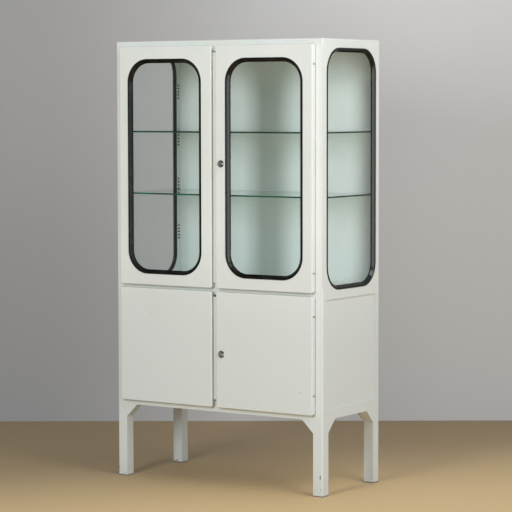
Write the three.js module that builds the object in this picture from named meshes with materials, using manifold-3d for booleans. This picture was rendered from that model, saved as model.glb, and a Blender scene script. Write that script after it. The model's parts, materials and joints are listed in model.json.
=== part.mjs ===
// Glass-door medical cabinet: an enamelled steel carcass on square legs, two glazed doors above two solid
// doors, glazed upper sides and glass shelves. Millimetres, +Z up, the doors face -Y.
// The origin lies on the floor, in the middle of the space that the whole object takes up.
import * as THREE from 'three';
import { mergeVertices } from 'three/addons/utils/BufferGeometryUtils.js';
import Module from 'manifold-3d';

const wasm = await Module();
wasm.setup();

// Carcass
const CABINET_WIDTH = 960;
const CABINET_DEPTH = 420;
const CABINET_HEIGHT = 1730;
const BASE_HEIGHT = 290;
const LOWER_OPENING = 414;
const POST_FACE = 42;
const POST_SIDE_FACE = 28;
const POST_CORNER_RADIUS = 4;
const RAIL_FACE = 42;
const WALL_DEPTH = 12;
const SHEET = 1.5;
const TUBE_WALL = 2;
const GUSSET = 50;
const SIDE_PANEL_RECESS = 5;
const FOOT_THICK = 4;
const FOOT_PROUD = 2;
const DECK_BELOW_LIP = 1;
const CAP_HEIGHT = 8;
const CAP_EDGE_RADIUS = 6;

// Doors
const DOOR_THICK = 22;
const DOOR_STANDOFF = 2.5;
const DOOR_SIDE_REVEAL = 31;
const DOOR_TOP_REVEAL = 21;
const DOOR_BOTTOM_REVEAL = 20;
const DOOR_MID_GAP = 13;
const DOOR_MEETING_GAP = 20;
const DOOR_EDGE_RADIUS = 4;
const DOOR_CORNER_RADIUS = 8;
const WINDOW_OUTER_STILE = 42;
const WINDOW_INNER_STILE = 46;
const WINDOW_TOP_STILE = 49;
const WINDOW_BOTTOM_STILE = 44;
const WINDOW_RADIUS = 92;

// Glazing
const GLASS = 4;
const GASKET_WIDTH = 16.5;
const GASKET_LIP = 8;
const GASKET_CREST = 2.5;
const GASKET_SHOULDER = 1;
const DOOR_LIP_LAP = 5;
const SIDE_LIP_LAP = 8;
const GLASS_BITE = 5.5;
const DOOR_GLASS_DEPTH = 9;
const SIDE_GLASS_DEPTH = 8;

// Shelves and the slots that carry their clips
const SHELF_THICK = 6;
const SHELF_RADIUS = 6;
const SHELF_GAP = 1.5;
const SHELF_SET_BACK = 5;
const SLOT_WIDTH = 14;
const SLOT_HEIGHT = 6;
const SLOT_DROP = 170;
const SLOT_PITCH = 13;
const SLOTS_IN_GROUP = 5;
const SLOT_GROUP_PITCH = 192;
const UPPER_SHELF_SLOT_COUNT = 5;
const LOWER_SHELF_SLOT_COUNT = 14;
const SLOT_FROM_FRONT = 19.5;
const SLOT_FROM_REAR = 14;
const CLIP_WIDTH = 12;
const CLIP_SHEET = 2;
const CLIP_TONGUE = 4;
const CLIP_HOOK = 2.5;
const CLIP_SEAT = 16;
const CLIP_RISE = 4.5;
const CLIP_DROP = 6;

// Hinge pivots
const HINGE_INSET = 75;
const HINGE_FROM_EDGE = 7.5;
const HINGE_FROM_BACK = 12;
const HINGE_EYE = 4.5;
const HINGE_NECK = 3.8;
const HINGE_LUG = 5;
const HINGE_TAB = 5;
const HINGE_TAB_REACH = 4.8;
const PIN_RADIUS = 2.5;
const PIN_LENGTH = 14;
const SWING_ROOM = 2;

// Locks, meeting strips and bolts
const LOCK_FROM_EDGE = 26;
const UPPER_LOCK_RISE = 481.5;
const LOWER_LOCK_RISE = 209;
const LOCK_PROUD = 8;
const LOCK_BEZEL_RADIUS = 13.5;
const LOCK_BEZEL_THICK = 3;
const LOCK_COLLAR_RADIUS = 11.5;
const LOCK_BARREL_RADIUS = 9;
const LOCK_BARREL_TAIL = 2;
const LOCK_EDGE = 1.5;
const PLUG_RADIUS = 6;
const PLUG_SET_BACK = 0.5;
const KEYWAY_WIDTH = 1.6;
const KEYWAY_LENGTH = 7;
const KEYWAY_DEPTH = 6;
const CAM_THICK = 2.5;
const CAM_WIDTH = 14;
const CAM_LENGTH = 34;
const CAM_GAP = 0.6;
const STRIP_THICK = 2;
const STRIP_LAP = 21;
const STRIP_SET_BACK = 12;
const STRIP_SHORT = 2;
const STRIP_END_GAP = 6;
const BOLT_WIDTH = 10;
const BOLT_THICK = 5;
const BOLT_LENGTH = 90;
const BOLT_OFF_DOOR = 5;
const BOLT_REST_GAP = 4;
const BOLT_HOLE_ROOM = 1.5;
const GUIDE_WALL = 2;
const GUIDE_HEIGHT = 8;
const GUIDE_INSET = 10;
const KNOB_RADIUS = 4;
const KNOB_LENGTH = 8;

// Fits and curve steps
const FIT = 0.3;
const WELD = 0.5;
const THROUGH = 1;
const LEAST_RADIUS = 0.5;
const BEND_INSET = 2;
const QUARTER_TURN = Math.PI / 2;
const EDGE_STEPS = 3;
const CORNER_STEPS = 3;
const WINDOW_STEPS = 6;
const ROUND_STEPS = 20;

// Planes of the carcass
const halfWidth = CABINET_WIDTH / 2;
const halfDepth = CABINET_DEPTH / 2;
const postInnerX = halfWidth - POST_FACE;
const postInnerY = halfDepth - POST_FACE;
const panelEdgeY = halfDepth - POST_SIDE_FACE;
const windowEdgeY = panelEdgeY - SIDE_LIP_LAP;
const wallX = halfWidth - WALL_DEPTH;
const frontY = -halfDepth;
const frameBackY = frontY + WALL_DEPTH;
const backPanelY = halfDepth - SHEET;
const baseTop = BASE_HEIGHT + RAIL_FACE;
const midLow = baseTop + LOWER_OPENING;
const midTop = midLow + RAIL_FACE;
const topLow = CABINET_HEIGHT - RAIL_FACE;
const capLow = CABINET_HEIGHT - CAP_HEIGHT;
const deckTop = midTop - SIDE_LIP_LAP - DECK_BELOW_LIP;

// Planes and outlines of the doors
const doorBackY = frontY - DOOR_STANDOFF;
const doorFaceY = doorBackY - DOOR_THICK;
const doorOuterX = halfWidth - DOOR_SIDE_REVEAL;
const doorInnerX = DOOR_MEETING_GAP / 2;
const midMiddle = (midLow + midTop) / 2;
const UPPER = {
  low: midMiddle + DOOR_MID_GAP / 2,
  high: CABINET_HEIGHT - DOOR_TOP_REVEAL,
  lock: midMiddle + DOOR_MID_GAP / 2 + UPPER_LOCK_RISE,
  openLow: midTop,
  openHigh: topLow,
  glazed: true,
};
const LOWER = {
  low: BASE_HEIGHT + DOOR_BOTTOM_REVEAL,
  high: midMiddle - DOOR_MID_GAP / 2,
  lock: BASE_HEIGHT + DOOR_BOTTOM_REVEAL + LOWER_LOCK_RISE,
  openLow: baseTop + SHEET,
  openHigh: midLow,
  glazed: false,
};
const hingeX = doorOuterX - HINGE_FROM_EDGE;
const hingeY = doorBackY - HINGE_FROM_BACK;
const lockX = doorInnerX + LOCK_FROM_EDGE;
const stripInnerX = doorInnerX + STRIP_LAP;
const boltX = (stripInnerX + doorInnerX + WINDOW_INNER_STILE) / 2;
const boltFrontY = doorBackY + BOLT_OFF_DOOR;
const stripBackY = doorBackY + STRIP_THICK;
const stripNoseY = doorFaceY + STRIP_SET_BACK;
const camFrontY = stripBackY + CAM_GAP;

// Reach to the front and to the rear, which puts the origin in the middle
const frontReach = -doorFaceY + LOCK_PROUD;
const rearReach = halfDepth + FOOT_PROUD;

const enamel = new THREE.MeshStandardMaterial({ color: 0xe3e5df, roughness: 0.38, metalness: 0 });
const rubber = new THREE.MeshStandardMaterial({ color: 0x161818, roughness: 0.6, metalness: 0 });
const pane = new THREE.MeshStandardMaterial({
  color: 0xd6e6e0, roughness: 0.05, metalness: 0, transparent: true, opacity: 0.25,
});
const shelfGlass = new THREE.MeshStandardMaterial({
  color: 0x1f5f4c, roughness: 0.06, metalness: 0, transparent: true, opacity: 0.45,
});
const chrome = new THREE.MeshStandardMaterial({ color: 0xc8c8c6, roughness: 0.15, metalness: 1 });
const zinc = new THREE.MeshStandardMaterial({ color: 0xa9aba8, roughness: 0.4, metalness: 1 });

// Placing an outline (a, b) at a depth d: seen from the front, from the side and from above
const fromFront = (a, b, d) => [a, d, b];
const fromSide = (a, b, d) => [d, a, b];
const fromAbove = (a, b, d) => [a, b, d];

// A closed solid through outlines with equal point counts; capped, or joined end to end as a ring
function loft(rings, place, ringShaped = false) {
  const count = rings[0].points.length;
  const vertices = rings.flatMap(({ points, d }) => points.map(([a, b]) => place(a, b, d)));
  const triangles = [];
  const spans = ringShaped ? rings.length : rings.length - 1;
  for (let i = 0; i < spans; i += 1) {
    const low = i * count;
    const high = ((i + 1) % rings.length) * count;
    for (let k = 0; k < count; k += 1) {
      const next = (k + 1) % count;
      triangles.push([low + k, low + next, high + next], [low + k, high + next, high + k]);
    }
  }
  if (!ringShaped) {
    const last = rings.length - 1;
    for (const [p, q, r] of capTriangles(rings[0].points)) triangles.push([r, q, p]);
    for (const face of capTriangles(rings[last].points)) triangles.push(face.map((k) => last * count + k));
  }
  if (volumeOf(vertices, triangles) < 0) triangles.forEach((face) => face.reverse());
  const geometry = new THREE.BufferGeometry();
  geometry.setAttribute('position', new THREE.Float32BufferAttribute(vertices.flat(), 3));
  geometry.setIndex(triangles.flat());
  return geometry;
}

function capTriangles(points) {
  return THREE.ShapeUtils.triangulateShape(points.map(([a, b]) => new THREE.Vector2(a, b)), []);
}

function volumeOf(vertices, triangles) {
  const [p, q, r] = [new THREE.Vector3(), new THREE.Vector3(), new THREE.Vector3()];
  return triangles.reduce((sum, [i, j, k]) => {
    p.fromArray(vertices[i]);
    q.fromArray(vertices[j]);
    r.fromArray(vertices[k]);
    return sum + p.dot(q.cross(r)) / 6;
  }, 0);
}

// An outline pushed straight from depth d0 to depth d1
function prism(points, d0, d1, place) {
  const area = THREE.ShapeUtils.area(points.map(([a, b]) => new THREE.Vector2(a, b)));
  const outline = area < 0 ? [...points].reverse() : points;
  return loft([{ points: outline, d: d0 }, { points: outline, d: d1 }], place);
}

function box(x, y, z) {
  const geometry = new THREE.BoxGeometry(
    Math.abs(x[1] - x[0]), Math.abs(y[1] - y[0]), Math.abs(z[1] - z[0]),
  );
  return geometry.translate((x[0] + x[1]) / 2, (y[0] + y[1]) / 2, (z[0] + z[1]) / 2);
}

function arc(centre, radius, from, to, steps) {
  return Array.from({ length: steps + 1 }, (_, k) => {
    const angle = from + ((to - from) * k) / steps;
    return [centre[0] + radius * Math.cos(angle), centre[1] + radius * Math.sin(angle)];
  });
}

function circle(centre, radius) {
  return arc(centre, radius, 0, 2 * Math.PI, ROUND_STEPS).slice(0, ROUND_STEPS);
}

// A rounded rectangle drawn inwards from its nominal outline by inset
function roundedRectangle({ low, high, radius, steps }, inset = 0) {
  const r = Math.max(radius - inset, LEAST_RADIUS);
  const [a0, b0] = low.map((value) => value + inset + r);
  const [a1, b1] = high.map((value) => value - inset - r);
  return [[a1, b0, 3], [a1, b1, 0], [a0, b1, 1], [a0, b0, 2]].flatMap(
    ([a, b, turn]) => arc([a, b], r, turn * QUARTER_TURN, (turn + 1) * QUARTER_TURN, steps),
  );
}

// Folded sheet pan with a rounded edge round its face, open towards the rim
function foldedPan(outline, face, rim, radius, place) {
  const inward = Math.sign(rim - face);
  const ring = (inset, depth) => ({ points: roundedRectangle(outline, inset), d: face + inward * depth });
  const rounding = arc([radius, radius], radius, 2 * QUARTER_TURN, 3 * QUARTER_TURN, EDGE_STEPS);
  const depth = Math.abs(rim - face);
  return loft([
    ring(SHEET + BEND_INSET, SHEET), ring(SHEET, radius), ring(SHEET, depth), ring(0, depth),
    ...rounding.map(([inset, fromFace]) => ring(inset, fromFace)),
  ], place);
}

function solidOf(geometry) {
  const bare = geometry.clone();
  bare.deleteAttribute('normal');
  bare.deleteAttribute('uv');
  const merged = mergeVertices(bare);
  return new wasm.Manifold(new wasm.Mesh({
    numProp: 3,
    vertProperties: new Float32Array(merged.getAttribute('position').array),
    triVerts: new Uint32Array(merged.getIndex().array),
  }));
}

function geometryOf(solid) {
  const mesh = solid.getMesh();
  const geometry = new THREE.BufferGeometry();
  geometry.setAttribute('position', new THREE.BufferAttribute(mesh.vertProperties, 3));
  geometry.setIndex(new THREE.BufferAttribute(mesh.triVerts, 1));
  return geometry;
}

function cut(geometry, ...tools) {
  return geometryOf(tools.reduce((solid, tool) => solid.subtract(solidOf(tool)), solidOf(geometry)));
}

function join(geometry, ...others) {
  return geometryOf(others.reduce((solid, other) => solid.add(solidOf(other)), solidOf(geometry)));
}

function addPiece(group, name, geometry, material) {
  const mesh = new THREE.Mesh(geometry, material);
  mesh.name = name;
  group.add(mesh);
}

const SIDES = [{ name: 'left', sign: -1 }, { name: 'right', sign: 1 }];
const ENDS = [{ name: 'front', sign: -1 }, { name: 'rear', sign: 1 }];

// The heights of all shelf slots, in groups from the top down, as far as the deck allows
function slotHeights() {
  const heights = [];
  const groupReach = SLOT_PITCH * (SLOTS_IN_GROUP - 1) + SLOT_HEIGHT;
  for (let top = CABINET_HEIGHT - SLOT_DROP; top - groupReach > midTop; top -= SLOT_GROUP_PITCH) {
    for (let k = 0; k < SLOTS_IN_GROUP; k += 1) heights.push(top - k * SLOT_PITCH);
  }
  return heights;
}

const slots = slotHeights();
const slotY = { front: frontY + SLOT_FROM_FRONT, rear: halfDepth - SLOT_FROM_REAR };

// The number of slots above the one that carries each shelf
const SHELF_SLOTS = { upper: UPPER_SHELF_SLOT_COUNT, lower: LOWER_SHELF_SLOT_COUNT };

// Square leg with one rounded outer corner, closed at the top
function leg(sx, sy) {
  const outline = (inset) => {
    const outer = [sx * (halfWidth - inset), sy * (halfDepth - inset)];
    const inner = [sx * (postInnerX + inset), sy * (postInnerY + inset)];
    const r = POST_CORNER_RADIUS - inset;
    const centre = [outer[0] - sx * r, outer[1] - sy * r];
    const rounded = arc([0, 0], r, 0, QUARTER_TURN, CORNER_STEPS)
      .map(([a, b]) => [centre[0] + sx * a, centre[1] + sy * b]);
    return [...rounded, [inner[0], outer[1]], inner, [outer[0], inner[1]]];
  };
  return cut(
    prism(outline(0), FOOT_THICK, baseTop, fromAbove),
    prism(outline(TUBE_WALL), FOOT_THICK - THROUGH, baseTop - TUBE_WALL, fromAbove),
  );
}

// Hollow post above the leg: an angle section at the front, a flat one at the rear
function shaftOutline(sx, sy, edgeY, inset) {
  const out = [sx * (halfWidth - inset), sy * (halfDepth - inset)];
  const wall = [sx * (wallX + inset), sy * (halfDepth - WALL_DEPTH + inset)];
  const far = [sx * (postInnerX + inset), sy * (edgeY + inset)];
  const r = POST_CORNER_RADIUS - inset;
  const rounded = arc([0, 0], r, 0, QUARTER_TURN, CORNER_STEPS)
    .map(([a, b]) => [out[0] - sx * (r - a), out[1] - sy * (r - b)]);
  const tail = sy < 0
    ? [[far[0], out[1]], [far[0], wall[1]], [wall[0], wall[1]], [wall[0], far[1]]]
    : [[wall[0], out[1]], [wall[0], far[1]]];
  return [...rounded, ...tail, [out[0], far[1]]];
}

// The shaft is narrow beside the lower panel and reaches under the lip of the gasket above it
function postShaft(sx, sy) {
  const length = (edgeY, inset, low, high) => prism(shaftOutline(sx, sy, edgeY, inset), low, high, fromAbove);
  return cut(
    join(length(panelEdgeY, 0, baseTop - WELD, midLow + WELD), length(windowEdgeY, 0, midLow, capLow)),
    length(panelEdgeY, SHEET, baseTop, midLow + SHEET + THROUGH),
    length(windowEdgeY, SHEET, midLow + SHEET, capLow + THROUGH),
  );
}

function hingeHeights(door) {
  return [door.low + HINGE_INSET, door.high - HINGE_INSET];
}

// Pivot lug welded to the front of the post, with the pin standing on it
function hingeLugs(sx) {
  const base = [sx * (postInnerX + FIT), sx * (postInnerX + FIT + HINGE_NECK)];
  const weldY = frontY + WELD;
  const axis = [sx * hingeX, hingeY];
  const neck = [
    [axis[0] - sx * HINGE_EYE, hingeY], [axis[0] + sx * HINGE_EYE, hingeY],
    [base[1], weldY], [base[0], weldY],
  ];
  return [UPPER, LOWER].flatMap(hingeHeights).flatMap((z) => [
    prism(neck, z - HINGE_LUG / 2, z + HINGE_LUG / 2, fromAbove),
    prism(circle(axis, HINGE_EYE), z - HINGE_LUG / 2, z + HINGE_LUG / 2, fromAbove),
    prism(circle(axis, PIN_RADIUS), z, z + HINGE_LUG / 2 + PIN_LENGTH, fromAbove),
  ]);
}

function slotCuts(sx, y) {
  const x = [sx * (wallX - THROUGH), sx * (wallX + SHEET + THROUGH)];
  return slots.map((z) => box(
    x, [y - SLOT_WIDTH / 2, y + SLOT_WIDTH / 2], [z - SLOT_HEIGHT / 2, z + SLOT_HEIGHT / 2],
  ));
}

function buildPosts(group) {
  for (const end of ENDS) {
    for (const side of SIDES) {
      const [sx, sy] = [side.sign, end.sign];
      const extras = sy < 0 ? hingeLugs(sx) : [];
      const post = cut(join(leg(sx, sy), postShaft(sx, sy), ...extras), ...slotCuts(sx, slotY[end.name]));
      addPiece(group, `${end.name}_${side.name}_post`, post, enamel);
      const centre = [sx * (halfWidth + postInnerX), sy * (halfDepth + postInnerY)].map((v) => v / 2);
      const plate = {
        low: centre.map((v) => v - POST_FACE / 2 - FOOT_PROUD),
        high: centre.map((v) => v + POST_FACE / 2 + FOOT_PROUD),
        radius: POST_CORNER_RADIUS,
        steps: CORNER_STEPS,
      };
      addPiece(group, `${end.name}_${side.name}_foot`,
        prism(roundedRectangle(plate), 0, FOOT_THICK, fromAbove), enamel);
    }
  }
}

// Boxed apron with a gusset at each end, hollow and open towards the legs
function apron(reach, d0, d1, place) {
  const slant = TUBE_WALL * Math.SQRT2;
  const run = GUSSET + TUBE_WALL - slant;
  const outline = [
    [-reach, BASE_HEIGHT - GUSSET], [-reach + GUSSET, BASE_HEIGHT], [reach - GUSSET, BASE_HEIGHT],
    [reach, BASE_HEIGHT - GUSSET], [reach, baseTop], [-reach, baseTop],
  ];
  const hollow = [
    [-reach - THROUGH, BASE_HEIGHT - GUSSET + slant - THROUGH], [-reach + run, BASE_HEIGHT + TUBE_WALL],
    [reach - run, BASE_HEIGHT + TUBE_WALL], [reach + THROUGH, BASE_HEIGHT - GUSSET + slant - THROUGH],
    [reach + THROUGH, baseTop - TUBE_WALL], [-reach - THROUGH, baseTop - TUBE_WALL],
  ];
  return cut(prism(outline, d0, d1, place), prism(hollow, d0 + TUBE_WALL, d1 - TUBE_WALL, place));
}

function buildAprons(group) {
  addPiece(group, 'front_apron', apron(postInnerX, -halfDepth, -postInnerY, fromFront), enamel);
  addPiece(group, 'rear_apron', apron(postInnerX, postInnerY, halfDepth, fromFront), enamel);
  addPiece(group, 'left_apron', apron(postInnerY, -halfWidth, -postInnerX, fromSide), enamel);
  addPiece(group, 'right_apron', apron(postInnerY, postInnerX, halfWidth, fromSide), enamel);
}

// Tube between the front posts, with a hole underneath for the bolt of the left door
function frontRail(low, high) {
  const y = [frontY, frameBackY];
  const hole = {
    x: [-boltX - BOLT_WIDTH / 2 - BOLT_HOLE_ROOM, -boltX + BOLT_WIDTH / 2 + BOLT_HOLE_ROOM],
    y: [boltFrontY - FIT, boltFrontY + BOLT_THICK + FIT],
  };
  return cut(
    box([-postInnerX, postInnerX], y, [low, high]),
    box([-postInnerX - THROUGH, postInnerX + THROUGH], [y[0] + SHEET, y[1] - SHEET],
      [low + SHEET, high - SHEET]),
    box(hole.x, hole.y, [low - THROUGH, low + SHEET + THROUGH]),
  );
}

// Side rail whose ends sweep into the posts as round fillets, up or down
function sideRail(sx, low, high, turn) {
  const r = WINDOW_RADIUS - SIDE_LIP_LAP;
  const edge = turn > 0 ? high : low;
  const back = turn > 0 ? low : high;
  const quarter = arc([0, 0], r, 0, QUARTER_TURN, WINDOW_STEPS);
  const fillet = (sy) => quarter.map(([a, b]) => [sy * (windowEdgeY - r + a), edge + turn * (r - b)]);
  const outline = [
    ...fillet(1), ...fillet(-1).reverse(), [-windowEdgeY, back], [windowEdgeY, back],
  ];
  const depth = [sx * wallX, sx * halfWidth].sort((p, q) => p - q);
  return cut(
    prism(outline, depth[0], depth[1], fromSide),
    box([depth[0] + SHEET, depth[1] - SHEET], [-windowEdgeY - THROUGH, windowEdgeY + THROUGH],
      [low + SHEET, high - SHEET]),
  );
}

function buildRails(group) {
  addPiece(group, 'mid_rail', frontRail(midLow, midTop), enamel);
  addPiece(group, 'top_rail', frontRail(topLow, capLow), enamel);
  for (const { name, sign } of SIDES) {
    addPiece(group, `${name}_mid_side_rail`, sideRail(sign, midLow, midTop, 1), enamel);
    addPiece(group, `${name}_top_side_rail`, sideRail(sign, topLow, capLow, -1), enamel);
  }
}

function buildPanels(group) {
  const floorOutline = [
    [-postInnerX, frontY], [postInnerX, frontY], [postInnerX, frameBackY], [wallX, frameBackY],
    [wallX, backPanelY], [-wallX, backPanelY], [-wallX, frameBackY], [-postInnerX, frameBackY],
  ];
  addPiece(group, 'bottom_panel', prism(floorOutline, baseTop, baseTop + SHEET, fromAbove), enamel);

  const deck = cut(
    box([-wallX, wallX], [frameBackY, backPanelY], [midLow, deckTop]),
    box([-wallX + SHEET, wallX - SHEET], [frameBackY + SHEET, backPanelY - SHEET],
      [midLow - THROUGH, deckTop - SHEET]),
  );
  addPiece(group, 'mid_deck', deck, enamel);

  const cap = {
    low: [-halfWidth, -halfDepth],
    high: [halfWidth, halfDepth],
    radius: POST_CORNER_RADIUS,
    steps: CORNER_STEPS,
  };
  addPiece(group, 'top_cap', foldedPan(cap, CABINET_HEIGHT, capLow, CAP_EDGE_RADIUS, fromAbove), enamel);
  addPiece(group, 'back_panel', box([-wallX, wallX], [backPanelY, halfDepth], [baseTop, capLow]), enamel);

  for (const { name, sign } of SIDES) {
    const face = halfWidth - SIDE_PANEL_RECESS;
    const panel = box([sign * (face - SHEET), sign * face], [-panelEdgeY, panelEdgeY], [baseTop, midLow]);
    addPiece(group, `${name}_lower_side_panel`, panel, enamel);
  }
}

// Rubber glazing strip: a lip on each side of a wall, a groove for the wall and one for the pane.
// Depth runs from the outer face of the wall; outward is the direction that this face looks in.
function gasketRing(opening, { wall, lap, glassFront }, face, outward, place) {
  const glassEdge = GASKET_WIDTH - GLASS_BITE;
  const section = [
    [0, 0], [GASKET_SHOULDER, -GASKET_CREST], [GASKET_LIP, -GASKET_CREST], [GASKET_WIDTH, glassFront],
    [glassEdge, glassFront], [glassEdge, glassFront + GLASS], [GASKET_WIDTH, glassFront + GLASS],
    [GASKET_LIP, wall + GASKET_CREST], [GASKET_SHOULDER, wall + GASKET_CREST], [0, wall],
    [lap, wall], [lap, 0],
  ];
  const rings = section.map(([inset, depth]) => ({
    points: roundedRectangle(opening, inset), d: face - outward * depth,
  }));
  return loft(rings, place, true);
}

function paneIn(opening, { glassFront }, face, outward, place) {
  const front = face - outward * glassFront;
  const outline = roundedRectangle(opening, GASKET_WIDTH - GLASS_BITE + FIT);
  return prism(outline, front, front - outward * GLASS, place);
}

function buildSideWindows(group) {
  const opening = {
    low: [-panelEdgeY, midTop - SIDE_LIP_LAP],
    high: [panelEdgeY, topLow + SIDE_LIP_LAP],
    radius: WINDOW_RADIUS,
    steps: WINDOW_STEPS,
  };
  const groove = { wall: WALL_DEPTH, lap: SIDE_LIP_LAP + FIT, glassFront: SIDE_GLASS_DEPTH };
  for (const { name, sign } of SIDES) {
    const face = sign * halfWidth;
    const gasket = gasketRing(opening, groove, face, sign, fromSide);
    addPiece(group, `${name}_side_gasket`, gasket, rubber);
    addPiece(group, `${name}_side_glass`, paneIn(opening, groove, face, sign, fromSide), pane);
  }
}

// Bent clip: a tongue in the slot, a plate down the wall and a seat for the glass
function shelfClip(sx, y, z) {
  const outline = [
    [wallX + SHEET + CLIP_HOOK, z - CLIP_TONGUE / 2], [wallX + SHEET + CLIP_HOOK, z + CLIP_TONGUE / 2],
    [wallX, z + CLIP_TONGUE / 2], [wallX, z + CLIP_RISE], [wallX - CLIP_SEAT, z + CLIP_RISE],
    [wallX - CLIP_SEAT, z + CLIP_RISE - CLIP_SHEET], [wallX - CLIP_SHEET, z + CLIP_RISE - CLIP_SHEET],
    [wallX - CLIP_SHEET, z - CLIP_DROP], [wallX, z - CLIP_DROP], [wallX, z - CLIP_TONGUE / 2],
  ].map(([x, height]) => [sx * x, height]);
  return prism(outline, y - CLIP_WIDTH / 2, y + CLIP_WIDTH / 2, fromFront);
}

function buildShelves(group) {
  const reach = wallX - GASKET_CREST - SHELF_GAP;
  const outline = {
    low: [-reach, frameBackY + SHELF_SET_BACK],
    high: [reach, backPanelY - SHELF_GAP],
    radius: SHELF_RADIUS,
    steps: CORNER_STEPS,
  };
  for (const [level, slot] of Object.entries(SHELF_SLOTS)) {
    const seat = slots[slot] + CLIP_RISE;
    const shelf = prism(roundedRectangle(outline), seat, seat + SHELF_THICK, fromAbove);
    addPiece(group, `${level}_shelf`, shelf, shelfGlass);
    for (const end of ENDS) {
      for (const side of SIDES) {
        const clip = shelfClip(side.sign, slotY[end.name], slots[slot]);
        addPiece(group, `${level}_shelf_clip_${end.name}_${side.name}`, clip, zinc);
      }
    }
  }
}

// Outline of a door and of the gasket in it, for the left or the right leaf
function doorOutline(door, sx) {
  const x = sx > 0 ? [doorInnerX, doorOuterX] : [-doorOuterX, -doorInnerX];
  return {
    low: [x[0], door.low], high: [x[1], door.high], radius: DOOR_CORNER_RADIUS, steps: CORNER_STEPS,
  };
}

function doorWindow(door, sx) {
  const inner = doorInnerX + WINDOW_INNER_STILE;
  const outer = doorOuterX - WINDOW_OUTER_STILE;
  return {
    low: [sx > 0 ? inner : -outer, door.low + WINDOW_BOTTOM_STILE],
    high: [sx > 0 ? outer : -inner, door.high - WINDOW_TOP_STILE],
    radius: WINDOW_RADIUS,
    steps: WINDOW_STEPS,
  };
}

// Holes that the shell and the liner of a door share: the window, the lock and the room for the hinge lugs
function doorCuts(door, sx) {
  const span = [doorFaceY - THROUGH, doorBackY + THROUGH];
  const cuts = hingeHeights(door).map((z) => box(
    [sx * (hingeX - HINGE_EYE - SWING_ROOM), sx * (doorOuterX + THROUGH)],
    [hingeY - HINGE_EYE - SWING_ROOM, doorBackY + THROUGH],
    [z - HINGE_LUG / 2 - SWING_ROOM / 2, z + HINGE_LUG / 2 + FIT],
  ));
  if (door.glazed) {
    cuts.push(prism(roundedRectangle(doorWindow(door, sx), DOOR_LIP_LAP - FIT), ...span, fromFront));
  }
  if (sx > 0) cuts.push(prism(circle([lockX, door.lock], LOCK_BARREL_RADIUS + FIT), ...span, fromFront));
  return cuts;
}

function doorShell(door, sx) {
  const pan = foldedPan(doorOutline(door, sx), doorFaceY, doorBackY, DOOR_EDGE_RADIUS, fromFront);
  return cut(pan, ...doorCuts(door, sx));
}

// Eye plates of the two pivots, reaching forward from the liner over the lugs
function hingeTabs(door, sx) {
  return hingeHeights(door).map((z) => {
    const low = z + HINGE_LUG / 2 + FIT;
    const eye = circle([sx * hingeX, hingeY], PIN_RADIUS + FIT);
    return cut(
      box([sx * (hingeX - HINGE_TAB_REACH), sx * (hingeX + HINGE_TAB_REACH)],
        [hingeY - HINGE_TAB_REACH, doorBackY - WELD], [low, low + HINGE_TAB]),
      prism(eye, low - THROUGH, low + HINGE_TAB + THROUGH, fromAbove),
    );
  });
}

function boltSpan(door) {
  const high = door.openHigh - BOLT_REST_GAP;
  return [high - BOLT_LENGTH, high];
}

// Two straps that guide the bolt along the back of a left door
function boltGuides(door) {
  const [low, high] = boltSpan(door);
  const channel = BOLT_WIDTH / 2 + FIT;
  const backY = boltFrontY + BOLT_THICK + FIT;
  return [low + GUIDE_INSET, high - GUIDE_INSET - GUIDE_HEIGHT].map((z) => cut(
    box([-boltX - channel - GUIDE_WALL, -boltX + channel + GUIDE_WALL],
      [doorBackY - WELD, backY + GUIDE_WALL], [z, z + GUIDE_HEIGHT]),
    box([-boltX - channel, -boltX + channel], [boltFrontY - FIT, backY],
      [z - THROUGH, z + GUIDE_HEIGHT + THROUGH]),
  ));
}

function doorLiner(door, sx) {
  const plate = prism(
    roundedRectangle(doorOutline(door, sx), SHEET + FIT), doorBackY - SHEET, doorBackY, fromFront,
  );
  const fittings = [...hingeTabs(door, sx), ...(sx < 0 ? boltGuides(door) : [])];
  return join(cut(plate, ...doorCuts(door, sx)), ...fittings);
}

// Folded strip: a flange behind the left door and a hat that fills the gap in front of the cam
function meetingStrip(door) {
  const near = -doorInnerX + FIT;
  const end = doorInnerX - STRIP_SHORT;
  const outline = [
    [-stripInnerX, doorBackY], [near, doorBackY], [near, stripNoseY], [end, stripNoseY], [end, stripBackY],
    [end - STRIP_THICK, stripBackY], [end - STRIP_THICK, stripNoseY + STRIP_THICK],
    [near + STRIP_THICK, stripNoseY + STRIP_THICK], [near + STRIP_THICK, stripBackY],
    [-stripInnerX, stripBackY],
  ];
  return prism(outline, door.openLow + STRIP_END_GAP, door.openHigh - STRIP_END_GAP, fromAbove);
}

function lockBarrel(z) {
  const front = doorFaceY - LOCK_PROUD;
  const bore = PLUG_RADIUS + FIT;
  const tail = doorBackY + LOCK_BARREL_TAIL;
  const profile = [
    [bore, front], [LOCK_COLLAR_RADIUS - LOCK_EDGE, front], [LOCK_COLLAR_RADIUS, front + LOCK_EDGE],
    [LOCK_COLLAR_RADIUS, doorFaceY - LOCK_BEZEL_THICK], [LOCK_BEZEL_RADIUS, doorFaceY - LOCK_BEZEL_THICK],
    [LOCK_BEZEL_RADIUS, doorFaceY], [LOCK_BARREL_RADIUS, doorFaceY], [LOCK_BARREL_RADIUS, tail],
    [bore, tail],
  ];
  return loft(profile.map(([radius, d]) => ({ points: circle([lockX, z], radius), d })), fromFront, true);
}

function lockPlug(z) {
  const front = doorFaceY - LOCK_PROUD + PLUG_SET_BACK;
  const keyway = box(
    [lockX - KEYWAY_WIDTH / 2, lockX + KEYWAY_WIDTH / 2], [front - THROUGH, front + KEYWAY_DEPTH],
    [z - KEYWAY_LENGTH / 2, z + KEYWAY_LENGTH / 2],
  );
  return cut(prism(circle([lockX, z], PLUG_RADIUS), front, camFrontY, fromFront), keyway);
}

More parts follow.
